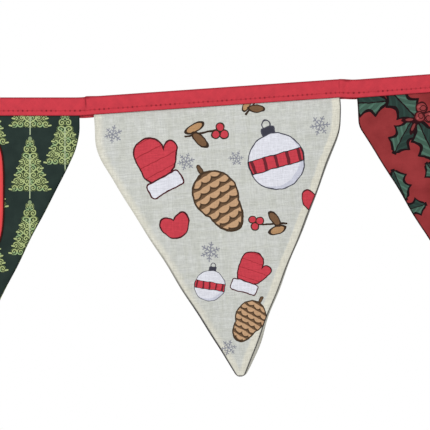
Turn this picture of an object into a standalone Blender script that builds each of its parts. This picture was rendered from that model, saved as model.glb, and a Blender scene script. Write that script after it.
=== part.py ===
"""Fabric bunting: three double-sided pennants sewn into a folded tape binding, as they hang.

A Blender 4.5 script in metres, +Z up, with the front of the bunting towards -Y. The origin is on
the binding's top fold, above the middle of the cream pennant, where the string is held up.

Each pennant is a front and a back panel, with its top edge between the two walls of the binding.
The binding is one strip of tape, folded lengthwise over the pennants and pressed shut in the
gaps between them and along its two tails. A blank patch is sewn to the front of the green pennant.
"""

import math
from collections import namedtuple

import bmesh
import bpy
from mathutils import Matrix, Vector

MM = 0.001

# Cloth: its thickness, and the distance between the middles of two layers that lie together
CLOTH = 1.0 * MM
LAYER = 1.3 * MM

# Binding: 25 mm tape, folded in half
BINDING_DROP = 12.5 * MM
BACK_WALL_EXTRA = 0.8 * MM
TUCKED_IN = 9.5 * MM
OPEN_RADIUS = 1.5 * LAYER
SHUT_RADIUS = 0.5 * LAYER
OPEN_PAST_PENNANT = 1.5 * MM
SHUTTING_LENGTH = 3.3 * MM
BEND_EASE = 4.0 * MM
BEND_SECTIONS = 10
PENNANT_SECTIONS = 8
FOLD_SEGMENTS = 6
PATH_STEP = 1.0 * MM

# The string from its left end to its right one: length along the fold, and rise towards +X
Stretch = namedtuple("Stretch", "name length_mm rise_deg")
STRING = (
    Stretch("left_tail", 100.0, -6.0),
    Stretch("green", 169.0, 0.0),
    Stretch("left_gap", 9.9, 4.5),
    Stretch("cream", 166.2, 4.0),
    Stretch("right_gap", 10.4, -2.0),
    Stretch("red", 166.2, 4.2),
    Stretch("right_tail", 100.0, 8.0),
)
ORIGIN_STRETCH = 3

# Shape shared by the pennants. The hang grows from nothing at the binding over HANG_START.
SHOULDER_RADIUS = 45.0 * MM
TIP_RADIUS = 4.6 * MM
TIP_END = 0.98
HANG_START = 60.0 * MM
EDGE_ROLL_POWER = 3
COLUMNS = 14
SHOULDER_ROWS = 6
SLOPE_ROWS = 11
TIP_ROWS = 4

# One row for each pennant, in millimetres from the middle of the binding's lower edge.
# Shoulders: the depth at which each side would turn in if it weren't rounded.
# Apex: where the slopes would meet. Back show: how far the back panel shows past the right edge.
# Swing, roll and ripple: how far the tip, the edges and the soft waves stand out of the plane.
# Pitch and phase: of the soft waves, the pitch in millimetres.
Pennant = namedtuple(
    "Pennant",
    "name left_shoulder right_shoulder apex_depth apex_right back_show swing roll ripple pitch phase",
)
PENNANTS = (
    Pennant("green", 18.2, 18.2, 184.5, 0.0, 0.4, -4.0, 2.2, 1.5, 95.0, 0.4),
    Pennant("cream", 29.0, 15.0, 189.3, 3.0, 2.0, 3.0, 2.4, 1.3, 85.0, 1.7),
    Pennant("red", 19.0, 20.0, 182.5, 2.0, 0.4, -2.5, 2.0, 1.8, 105.0, 2.9),
)

# Patch: a superellipse centred across the green pennant, one layer in front of its front panel
PATCH_HALF_WIDTH = 34.8 * MM
PATCH_HALF_HEIGHT = 44.5 * MM
PATCH_DEPTH = 52.7 * MM
PATCH_POWER = 4
PATCH_COLUMNS = 8
PATCH_ROWS = 10

# Colours as linear RGB
BINDING_RED = (0.596, 0.048, 0.064)
GREEN_CLOTH = (0.030, 0.044, 0.038)
CREAM_CLOTH = (0.591, 0.591, 0.533)
DARK_RED_CLOTH = (0.296, 0.036, 0.038)
PATCH_RED = (0.720, 0.090, 0.085)
CLOTH_ROUGHNESS = 0.9

# The two panels of a pennant: which way each lies from the pennant's middle
SIDES = {"front": -1, "back": 1}


def clear_scene():
    """Removes the objects that Blender starts with."""
    for thing in list(bpy.data.objects):
        bpy.data.objects.remove(thing, do_unlink=True)


def smooth_step(value):
    """0 below 0, 1 above 1, and an S-shaped rise between."""
    value = min(1.0, max(0.0, value))
    return value * value * (3 - 2 * value)


def cloth_material(name, colour):
    """A matt cloth of one colour."""
    material = bpy.data.materials.new(name)
    material.use_nodes = True
    shader = material.node_tree.nodes["Principled BSDF"]
    shader.inputs["Base Color"].default_value = (*colour, 1.0)
    shader.inputs["Roughness"].default_value = CLOTH_ROUGHNESS
    shader.inputs["Metallic"].default_value = 0.0
    return material


def stretch_starts():
    """Where each stretch of the string starts along the fold, and where the last one ends."""
    before_origin = sum(stretch.length_mm for stretch in STRING[:ORIGIN_STRETCH])
    starts = [-(before_origin + STRING[ORIGIN_STRETCH].length_mm / 2) * MM]
    for stretch in STRING:
        starts.append(starts[-1] + stretch.length_mm * MM)
    return starts


STARTS = stretch_starts()
SPANS = {stretch.name: (start, end) for stretch, start, end in zip(STRING, STARTS, STARTS[1:])}


def rise_at(along):
    """The string's slope at a place along the fold, in radians, eased across each joint."""
    rise = STRING[0].rise_deg
    for joint, before, after in zip(STARTS[1:-1], STRING[:-1], STRING[1:]):
        share = smooth_step((along - joint + BEND_EASE) / (2 * BEND_EASE))
        rise += (after.rise_deg - before.rise_deg) * share
    return math.radians(rise)


def fold_point(along):
    """The point of the top fold at a place along it, found by adding up short steps."""
    steps = max(1, math.ceil(abs(along) / PATH_STEP))
    step = along / steps
    point = Vector((0.0, 0.0, 0.0))
    for i in range(steps):
        rise = rise_at((i + 0.5) * step)
        point += step * Vector((math.cos(rise), 0.0, math.sin(rise)))
    return point


def string_frame(along):
    """A matrix whose X runs along the fold there, whose Z points up from it, and whose Y is +Y."""
    return Matrix.Translation(fold_point(along)) @ Matrix.Rotation(-rise_at(along), 4, "Y")


def fold_radius(along):
    """Half the distance between the binding's walls: wide round a pennant's edge, else pressed."""
    openness = 0.0
    for pennant in PENNANTS:
        start, end = SPANS[pennant.name]
        outside = max(start - along, along - end) - OPEN_PAST_PENNANT
        openness = max(openness, 1 - smooth_step(outside / SHUTTING_LENGTH))
    return SHUT_RADIUS + (OPEN_RADIUS - SHUT_RADIUS) * openness


def binding_section(radius):
    """The middle of the folded tape, seen along the string: (y, z) from front to back edge."""
    centre = -(radius + CLOTH / 2)
    wall_middle = (centre - BINDING_DROP) / 2
    angles = [math.pi * i / FOLD_SEGMENTS for i in range(FOLD_SEGMENTS + 1)]
    fold = [(-radius * math.cos(a), centre + radius * math.sin(a)) for a in angles]
    front = [(-radius, -BINDING_DROP), (-radius, wall_middle)]
    back = [(radius, wall_middle), (radius, -BINDING_DROP - BACK_WALL_EXTRA)]
    return front + fold + back


def binding_stations():
    """Places along the fold where the binding has a section: close together where it changes."""
    stations = {STARTS[0], STARTS[-1]}
    for pennant in PENNANTS:
        start, end = SPANS[pennant.name]
        for i in range(BEND_SECTIONS + 1):
            near = BEND_EASE * (2 * i / BEND_SECTIONS - 1)
            stations.update((start + near, end + near))
        for i in range(1, PENNANT_SECTIONS):
            stations.add(start + (end - start) * i / PENNANT_SECTIONS)
    return sorted(stations)


def grid_mesh(name, columns, rows, place):
    """An open sheet of columns x rows faces, each point moved by place(column, row)."""
    sheet = bmesh.new()
    bmesh.ops.create_grid(sheet, x_segments=columns, y_segments=rows, size=1.0)
    for point in sheet.verts:
        column = round((point.co.x + 1) / 2 * columns)
        row = round((1 - point.co.y) / 2 * rows)
        point.co = place(column, row)
    mesh = bpy.data.meshes.new(name)
    sheet.to_mesh(mesh)
    sheet.free()
    mesh.shade_smooth()
    return mesh


def sewn_piece(name, mesh, material, home):
    """An object for one cut piece of cloth, which is given its thickness about the mesh."""
    piece = bpy.data.objects.new(name, mesh)
    home.objects.link(piece)
    mesh.materials.append(material)
    thickness = piece.modifiers.new("Cloth thickness", "SOLIDIFY")
    thickness.thickness = CLOTH
    thickness.offset = 0.0
    thickness.use_even_offset = True
    return piece


def build_binding(home):
    """The folded tape along the whole string."""
    stations = binding_stations()
    sections = [binding_section(fold_radius(along)) for along in stations]
    frames = [string_frame(along) for along in stations]

    def place(column, row):
        y, z = sections[column][row]
        return frames[column] @ Vector((0.0, y, z))

    mesh = grid_mesh("binding", len(stations) - 1, len(sections[0]) - 1, place)
    return sewn_piece("binding", mesh, cloth_material("red tape", BINDING_RED), home)


class PennantShape:
    """A pennant's cut outline and its hang. Right is +X, and depth runs down from the binding."""

    def __init__(self, pennant):
        start, end = SPANS[pennant.name]
        self.pennant = pennant
        self.frame = string_frame((start + end) / 2) @ Matrix.Translation((0, 0, -BINDING_DROP))
        self.half_width = (end - start) / 2
        self.shoulder = {-1: pennant.left_shoulder * MM, 1: pennant.right_shoulder * MM}
        self.apex = Vector((pennant.apex_right, pennant.apex_depth)) * MM
        self.slope = {side: self.slope_angle(side) for side in SIDES.values()}
        opening = (self.slope[-1] + self.slope[1]) / 2
        lean = (self.slope[1] - self.slope[-1]) / 2
        rise = TIP_RADIUS / math.sin(opening)
        self.tip_centre = self.apex + rise * Vector((math.sin(lean), -math.cos(lean)))

    def slope_angle(self, side):
        """How far the left (-1) or right (1) slope leans from straight down, in radians."""
        across = self.half_width - side * self.apex.x
        return math.atan2(across, self.apex.y - self.shoulder[side])

    def edge(self, side, depth):
        """How far right the left (-1) or right (1) edge is at a depth."""
        slope = self.slope[side]
        turn = SHOULDER_RADIUS * math.tan(slope / 2)
        arc_start = self.shoulder[side] - turn
        arc_end = self.shoulder[side] + turn * math.cos(slope)
        tip_start = self.tip_centre.y + TIP_RADIUS * math.sin(slope)
        if depth <= arc_start:
            return side * self.half_width
        if depth < arc_end:
            drop = depth - arc_start
            cut_in = SHOULDER_RADIUS - math.sqrt(SHOULDER_RADIUS**2 - drop**2)
            return side * (self.half_width - cut_in)
        if depth < tip_start:
            return side * (self.half_width - (depth - self.shoulder[side]) * math.tan(slope))
        drop = depth - self.tip_centre.y
        return self.tip_centre.x + side * math.sqrt(TIP_RADIUS**2 - drop**2)

    def row_depths(self):
        """Depths of the panel's rows: close together at the shoulders and round the tip."""
        turn = SHOULDER_RADIUS * math.tan(max(self.slope.values()) / 2)
        shoulder_start = min(self.shoulder.values()) - turn
        shoulder_end = max(self.shoulder.values()) + turn
        tip_turn = min(self.slope.values())
        tip_start = self.tip_centre.y + TIP_RADIUS * math.sin(tip_turn)
        shoulder_step = (shoulder_end - shoulder_start) / SHOULDER_ROWS
        slope_step = (tip_start - shoulder_end) / SLOPE_ROWS
        tip_step = (math.asin(TIP_END) - tip_turn) / TIP_ROWS
        depths = [-TUCKED_IN, 0.0]
        depths += [shoulder_start + shoulder_step * i for i in range(SHOULDER_ROWS)]
        depths += [shoulder_end + slope_step * i for i in range(SLOPE_ROWS)]
        for i in range(TIP_ROWS + 1):
            depths.append(self.tip_centre.y + TIP_RADIUS * math.sin(tip_turn + tip_step * i))
        return depths

    def stand_back(self, right, depth):
        """How far back the pennant's middle surface stands at a place on it."""
        pennant = self.pennant
        left_edge = self.edge(-1, depth)
        right_edge = self.edge(1, depth)
        half = (right_edge - left_edge) / 2
        across = min(1.0, abs(right - (left_edge + right_edge) / 2) / half)
        share = depth / self.apex.y
        wave = math.tau * right / (pennant.pitch * MM) + pennant.phase + share
        swing = pennant.swing * share**2
        roll = pennant.roll * across**EDGE_ROLL_POWER * half / self.half_width
        ripple = pennant.ripple * math.sin(wave)
        return (swing + roll + ripple) * MM * smooth_step(depth / HANG_START)

    def point(self, right, depth, layer):
        """The place in the world of a point on a layer, counted backwards from the middle."""
        back = layer * LAYER + self.stand_back(right, depth)
        return self.frame @ Vector((right, back, -depth))


def build_panel(shape, side_name, material, home):
    """The front or back panel of a pennant. The back one has a rim that shows past the front."""
    side = SIDES[side_name]
    depths = shape.row_depths()
    columns = COLUMNS + 1 if side_name == "back" else COLUMNS

    def place(column, row):
        depth = depths[row]
        left = shape.edge(-1, depth)
        right = left + (shape.edge(1, depth) - left) * min(column, COLUMNS) / COLUMNS
        if column > COLUMNS:
            right += shape.pennant.back_show * MM * (1 + smooth_step(depth / shape.apex.y)) / 2
        return shape.point(right, depth, side / 2)

    name = f"pennant_{shape.pennant.name}_{side_name}"
    mesh = grid_mesh(name, columns, len(depths) - 1, place)
    return sewn_piece(name, mesh, material, home)


def build_patch(shape, home):
    """The blank patch that lies on the front of a pennant."""

    def place(column, row):
        x = 2 * column / PATCH_COLUMNS - 1
        z = 1 - 2 * row / PATCH_ROWS
        reach = (abs(x) ** PATCH_POWER + abs(z) ** PATCH_POWER) ** (1 / PATCH_POWER)
        rounding = max(abs(x), abs(z)) / reach if reach else 1.0
        depth = PATCH_DEPTH - PATCH_HALF_HEIGHT * z * rounding
        return shape.point(PATCH_HALF_WIDTH * x * rounding, depth, SIDES["front"] * 1.5)

    mesh = grid_mesh("patch", PATCH_COLUMNS, PATCH_ROWS, place)
    return sewn_piece("patch", mesh, cloth_material("patch cotton", PATCH_RED), home)


def main():
    """Builds the whole bunting in one collection."""
    clear_scene()
    home = bpy.data.collections.new("Fabric bunting")
    bpy.context.scene.collection.children.link(home)
    cloths = {
        "green": cloth_material("green cotton", GREEN_CLOTH),
        "cream": cloth_material("cream cotton", CREAM_CLOTH),
        "red": cloth_material("dark red cotton", DARK_RED_CLOTH),
    }
    shapes = {pennant.name: PennantShape(pennant) for pennant in PENNANTS}
    build_binding(home)
    for name, shape in shapes.items():
        for side_name in SIDES:
            build_panel(shape, side_name, cloths[name], home)
    build_patch(shapes["green"], home)


main()
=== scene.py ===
"""Fabric bunting: printed cotton pennants sewn into a folded red tape, dressed over the solids.

Lengths are in millimetres until a mesh is finished. The front of the bunting faces -Y, and the
origin is on the tape's top fold, above the middle of the cream pennant.
"""

import logging
import math
from collections.abc import Callable, Iterable, Sequence
from dataclasses import dataclass, field
from enum import Enum, IntEnum

import bmesh
import bpy
from mathutils import Matrix, Vector


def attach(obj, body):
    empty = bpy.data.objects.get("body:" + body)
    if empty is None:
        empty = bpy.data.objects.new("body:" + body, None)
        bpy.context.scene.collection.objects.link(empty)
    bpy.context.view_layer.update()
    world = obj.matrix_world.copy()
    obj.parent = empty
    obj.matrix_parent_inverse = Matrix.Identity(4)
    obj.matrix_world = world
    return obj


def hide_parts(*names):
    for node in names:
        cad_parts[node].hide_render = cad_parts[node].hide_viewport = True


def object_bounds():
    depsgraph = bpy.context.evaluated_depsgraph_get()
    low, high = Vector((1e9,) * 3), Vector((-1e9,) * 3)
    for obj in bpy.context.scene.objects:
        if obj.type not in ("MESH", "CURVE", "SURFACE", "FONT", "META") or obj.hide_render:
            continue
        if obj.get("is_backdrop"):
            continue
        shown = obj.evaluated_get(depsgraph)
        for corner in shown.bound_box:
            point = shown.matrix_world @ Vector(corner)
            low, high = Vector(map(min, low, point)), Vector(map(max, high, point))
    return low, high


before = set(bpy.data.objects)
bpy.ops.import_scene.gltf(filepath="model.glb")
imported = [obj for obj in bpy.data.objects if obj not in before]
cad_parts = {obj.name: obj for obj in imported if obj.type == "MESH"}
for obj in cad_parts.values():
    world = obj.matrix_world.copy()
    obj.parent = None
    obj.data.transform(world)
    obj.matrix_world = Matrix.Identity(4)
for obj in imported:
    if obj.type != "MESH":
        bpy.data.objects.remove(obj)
CAD_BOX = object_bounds()

MM = 0.001
LOG = logging.getLogger("bunting")

Pair = tuple[float, float]
Triple = tuple[float, float, float]
Colour = tuple[float, float, float, float]
Socket = bpy.types.NodeSocket
Value = Socket | float | Sequence[float]

# A colour Mix node's numbers for the colour below, the colour above and what it gives.
UNDER, OVER, MIXED = 6, 7, 2

# Across this strip at a pennant's middle, the look of its left seam passes into that of its right.
SEAM_TURN: Pair = (-10.0, 15.0)


class Side(Enum):
    """The two faces of the bunting, by the way each looks along Y."""

    FRONT = -1
    BACK = 1

    @property
    def word(self) -> str:
        """The side's name in a piece's name."""
        return self.name.lower()


class Way(IntEnum):
    """The two side edges of a pennant, by the way each lies along X."""

    LEFT = -1
    RIGHT = 1


def smooth_step(value: float) -> float:
    """0 below 0, 1 above 1, and an S-shaped rise between."""
    value = min(1.0, max(0.0, value))
    return value * value * (3 - 2 * value)


def linear(code: str) -> Colour:
    """Turns an sRGB colour into a linear one, by the curve of that standard.

    Args:
        code: the colour in hex, such as 'A12E3D'.

    Returns:
        The linear colour, with an alpha of 1.
    """
    channels = (int(code[i : i + 2], 16) / 255 for i in (0, 2, 4))
    red, green, blue = (c / 12.92 if c <= 0.04045 else ((c + 0.055) / 1.055) ** 2.4 for c in channels)
    return red, green, blue, 1.0


class Graph:
    """The nodes of one material, world or node group."""

    def __init__(self, tree: bpy.types.NodeTree) -> None:
        """Starts on an empty or ready-made tree."""
        self.tree = tree

    def add(
        self,
        kind: str,
        *values: Value,
        at: dict[int | str, Value] | None = None,
        out: int | str = 0,
        **settings: object,
    ) -> Socket:
        """Adds one node with its settings and links.

        Args:
            kind: the node's type without ShaderNode, or in capitals an operation of the Math node.
            values: what goes into the node's first inputs, in their order.
            at: what goes into other inputs, by number or name.
            out: the output to return, by number or name.
            settings: the node's own properties.

        Returns:
            The chosen output.
        """
        node = self.tree.nodes.new("ShaderNodeMath" if kind.isupper() else f"ShaderNode{kind}")
        if kind.isupper():
            node.operation = kind
        for name, setting in settings.items():
            setattr(node, name, setting)
        for key, value in [*enumerate(values), *(at or {}).items()]:
            if isinstance(value, Socket):
                self.tree.links.new(value, node.inputs[key])
            else:
                node.inputs[key].default_value = value
        return node.outputs[out]


# Colours flat cloth: it takes a material's nodes and a place in millimetres, and gives the colour.
Painter = Callable[[Graph, Socket], Socket]


@dataclass(frozen=True)
class Stretch:
    """A length of the string: how far it runs along the fold, and its rise towards +X."""

    name: str
    length: float
    rise_deg: float


@dataclass
class StringLine:
    """The line that the tape's top fold follows, measured along it from the origin."""

    stretches: tuple[Stretch, ...] = (
        Stretch("left_tail", 100.0, -6.0),
        Stretch("green", 169.0, 0.0),
        Stretch("left_gap", 9.9, 4.5),
        Stretch("cream", 166.2, 4.0),
        Stretch("right_gap", 10.4, -2.0),
        Stretch("red", 166.2, 4.2),
        Stretch("right_tail", 100.0, 8.0),
    )
    origin_stretch: int = 3
    bend_ease: float = 4.0
    step: float = 1.0
    starts: list[float] = field(init=False)

    def __post_init__(self) -> None:
        """Works out where each stretch starts, and where the last one ends."""
        before = sum(stretch.length for stretch in self.stretches[: self.origin_stretch])
        self.starts = [-(before + self.stretches[self.origin_stretch].length / 2)]
        for stretch in self.stretches:
            self.starts.append(self.starts[-1] + stretch.length)
        self.right_walk = self.walk(self.starts[-1])
        self.left_walk = self.walk(self.starts[0])

    @property
    def length(self) -> float:
        """The whole length of the string."""
        return self.starts[-1] - self.starts[0]

    def span(self, name: str) -> Pair:
        """Where a stretch starts and ends along the fold."""
        index = [stretch.name for stretch in self.stretches].index(name)
        return self.starts[index], self.starts[index + 1]

    def rise(self, along: float) -> float:
        """The fold's slope at a place, eased across each joint between stretches.

        Args:
            along: the place, measured along the fold.

        Returns:
            The slope in radians, above 0 where the fold rises towards +X.
        """
        rise = self.stretches[0].rise_deg
        for joint, before, after in zip(self.starts[1:-1], self.stretches[:-1], self.stretches[1:]):
            share = smooth_step((along - joint + self.bend_ease) / (2 * self.bend_ease))
            rise += (after.rise_deg - before.rise_deg) * share
        return math.radians(rise)

    def walk(self, end: float) -> list[Vector]:
        """Steps along the fold from the origin.

        Args:
            end: how far to go, below 0 to the left.

        Returns:
            The fold's points, one for each step.
        """
        points = [Vector((0.0, 0.0, 0.0))]
        step = math.copysign(self.step, end)
        for i in range(math.ceil(abs(end) / self.step) + 1):
            rise = self.rise((i + 0.5) * step)
            points.append(points[-1] + step * Vector((math.cos(rise), 0.0, math.sin(rise))))
        return points

    def frame(self, along: float) -> Matrix:
        """Where a section of the tape stands.

        Args:
            along: its place, measured along the fold.

        Returns:
            A matrix whose X runs along the fold there, whose Z points up and whose Y is +Y.
        """
        points = self.right_walk if along >= 0 else self.left_walk
        index, share = divmod(abs(along) / self.step, 1)
        point = points[int(index)].lerp(points[int(index) + 1], share)
        return Matrix.Translation(point) @ Matrix.Rotation(-self.rise(along), 4, "Y")


STRING = StringLine()


def sheet_mesh(
    name: str,
    columns: int,
    rows: int,
    place: Callable[[int, int], Vector],
    print_place: Callable[[int, int], Pair],
    edge_gap: Callable[[int, int], float] | None = None,
) -> bpy.types.Mesh:
    """Makes an open sheet of cloth from a grid.

    Args:
        name: the mesh's name.
        columns: faces across.
        rows: faces down.
        place: where the point at a column and row goes, in millimetres.
        print_place: the point's place on the flat cloth, kept in the UV map "print".
        edge_gap: its distance from the piece's edge, kept in the attribute "edge".

    Returns:
        The mesh, in metres.
    """
    sheet = bmesh.new()
    flat = sheet.loops.layers.uv.new("print")
    edge = sheet.verts.layers.float.new("edge")
    bmesh.ops.create_grid(sheet, x_segments=columns, y_segments=rows, size=1.0)
    for point in sheet.verts:
        column = round((point.co.x + 1) / 2 * columns)
        row = round((1 - point.co.y) / 2 * rows)
        point.co = place(column, row) * MM
        if edge_gap:
            point[edge] = edge_gap(column, row)
        for loop in point.link_loops:
            loop[flat].uv = print_place(column, row)
    mesh = bpy.data.meshes.new(name)
    sheet.to_mesh(mesh)
    sheet.free()
    mesh.shade_smooth()
    return mesh


def add_object(name: str, data: bpy.types.ID) -> bpy.types.Object:
    """Adds an object to the scene, at the origin.

    Args:
        name: the object's name.
        data: its mesh, lamp or camera.

    Returns:
        The object.
    """
    added = bpy.data.objects.new(name, data)
    bpy.context.scene.collection.objects.link(added)
    return added


def add_piece(name: str, mesh: bpy.types.Mesh, material: bpy.types.Material) -> bpy.types.Object:
    """Adds a finished mesh to the scene as one piece of the bunting.

    Args:
        name: the piece's name.
        mesh: its mesh, in metres.
        material: what it's made of.

    Returns:
        The piece, which rides the bunting's only body.
    """
    piece = add_object(name, mesh)
    mesh.materials.append(material)
    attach(piece, "root")
    return piece


def thicken(piece: bpy.types.Object, thickness: float) -> None:
    """Gives an open sheet its thickness, half of it on each side.

    Args:
        piece: the sheet.
        thickness: the cloth's thickness in millimetres.
    """
    solid = piece.modifiers.new("Cloth thickness", "SOLIDIFY")
    solid.thickness = thickness * MM
    solid.offset = 0.0
    solid.use_even_offset = True


def join_stitches(name: str, places: Iterable[Matrix], around: int, along: int) -> bpy.types.Mesh:
    """Makes one mesh of many stitches, each a unit ball shaped by its matrix in millimetres.

    Args:
        name: the mesh's name.
        places: one matrix for each stitch.
        around: faces round a stitch.
        along: faces from end to end.

    Returns:
        The joined mesh, in metres.
    """
    ball = bmesh.new()
    bmesh.ops.create_uvsphere(ball, u_segments=around, v_segments=along, radius=1.0)
    ball.verts.index_update()
    corners = [corner.co.copy() for corner in ball.verts]
    faces = [[corner.index for corner in face.verts] for face in ball.faces]
    ball.free()
    points = []
    joined = []
    for place in places:
        first = len(points)
        points += [place @ corner * MM for corner in corners]
        joined += [[first + corner for corner in face] for face in faces]
    mesh = bpy.data.meshes.new(name)
    mesh.from_pydata(points, [], joined)
    mesh.shade_smooth()
    return mesh


@dataclass(frozen=True)
class WovenFinish:
    """Matt woven cotton, whose threads cross at a real spacing and take the light softly.

    Attributes:
        name: what the real cloth or thread is.
        thread: the distance between two threads.
        weave_depth: how deep the weave is.
        slub_depth: how far the thick places of a thread stand out.
        bias_deg: how far the threads are turned on the cloth.
        roughness, specular: how the shader takes the light.
        thread_contrast: how much darker the thin places are.
        upright_slubs: the strength of the slubs that run down, against those that run across.
        slub_length: how long a slub is.
        slubs_per_mm: how many lie side by side in a millimetre.
    """

    name: str
    thread: float = 0.8
    weave_depth: float = 0.05
    slub_depth: float = 0.04
    bias_deg: float = 0.0
    roughness: float = 0.92
    specular: float = 0.03
    thread_contrast: float = 0.06
    upright_slubs: float = 1.0
    slub_length: float = 12.5
    slubs_per_mm: float = 1.1

    def material(self, paint: Painter) -> bpy.types.Material:
        """Makes the cloth's material.

        Args:
            paint: draws the print.

        Returns:
            The material.
        """
        material = bpy.data.materials.new(self.name)
        material.use_nodes = True
        graph = Graph(material.node_tree)
        shader = material.node_tree.nodes["Principled BSDF"]
        shader.inputs["Roughness"].default_value = self.roughness
        shader.inputs["Specular IOR Level"].default_value = self.specular
        flat = graph.add("UVMap", uv_map="print")
        colour = paint(graph, flat)
        height, tone = self.weave(graph, flat)
        black = linear("000000")
        shaded = graph.add("Mix", tone, at={UNDER: colour, OVER: black}, out=MIXED, data_type="RGBA")
        bump = graph.add("Bump", at={"Height": height, "Distance": MM}, out="Normal")
        graph.tree.links.new(shaded, shader.inputs["Base Color"])
        graph.tree.links.new(bump, shader.inputs["Normal"])
        return material

    def weave(self, graph: Graph, flat: Socket) -> tuple[Socket, Socket]:
        """Draws the threads. Real ones are about 0.4 mm apart, and these are coarser, so that they show.

        Args:
            graph: the material's nodes.
            flat: the place on the flat cloth.

        Returns:
            The height of the weave in millimetres, and how much it darkens the colour.
        """
        angle = math.radians(self.bias_deg)
        turned = graph.add("VectorRotate", flat, at={"Angle": angle}, rotation_type="Z_AXIS")
        phase = graph.add("VectorMath", turned, at={"Scale": math.pi / self.thread}, operation="SCALE")
        across = graph.add("SeparateXYZ", phase)
        down = across.node.outputs[1]
        warp = graph.add("ABSOLUTE", graph.add("SINE", across))
        weft = graph.add("ABSOLUTE", graph.add("SINE", down))
        threads = graph.add("MULTIPLY", warp, weft)
        long_slubs = self.slubs(graph, turned, (1 / self.slub_length, self.slubs_per_mm))
        tall_slubs = self.slubs(graph, turned, (self.slubs_per_mm, 1 / self.slub_length))
        slubs = graph.add("MULTIPLY_ADD", tall_slubs, self.upright_slubs, long_slubs)
        woven = graph.add("MULTIPLY", threads, self.weave_depth)
        height = graph.add("MULTIPLY_ADD", slubs, self.slub_depth, woven)
        tone = graph.add("MULTIPLY_ADD", slubs, -self.thread_contrast / 2, self.thread_contrast)
        return height, tone

    def slubs(self, graph: Graph, turned: Socket, rates: Pair) -> Socket:
        """Draws the thick places in the threads that run one way.

        Args:
            graph: the material's nodes.
            turned: the place on the cloth, turned to its threads.
            rates: how many there are in a millimetre, across and down.

        Returns:
            Their thickness, from 0 to 1.
        """
        place = graph.add("VectorMath", turned, (*rates, 0), operation="MULTIPLY")
        cloud = graph.add("TexNoise", at={"Vector": place, "Scale": 1.0, "Detail": 2.0, "Roughness": 0.6})
        return graph.add("MapRange", cloud, 0.38, 0.66, 0.0, 1.0)


@dataclass(frozen=True)
class Dye:
    """A dyed cloth of one colour, a little uneven.

    Attributes:
        code: its main colour.
        mottle: the colour of its uneven places.
        spread: the size of those places.
    """

    code: str
    mottle: str
    spread: float = 9.0

    def paint(self, graph: Graph, flat: Socket) -> Socket:
        """Colours the cloth.

        Args:
            graph: the material's nodes.
            flat: the place on the flat cloth.

        Returns:
            The colour.
        """
        cloud = graph.add("TexNoise", at={"Vector": flat, "Scale": 1 / self.spread, "Detail": 3.0})
        share = graph.add("MapRange", cloud, 0.35, 0.65, 0.0, 1.0)
        tints = {UNDER: linear(self.code), OVER: linear(self.mottle)}
        return graph.add("Mix", share, at=tints, out=MIXED, data_type="RGBA")


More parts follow.
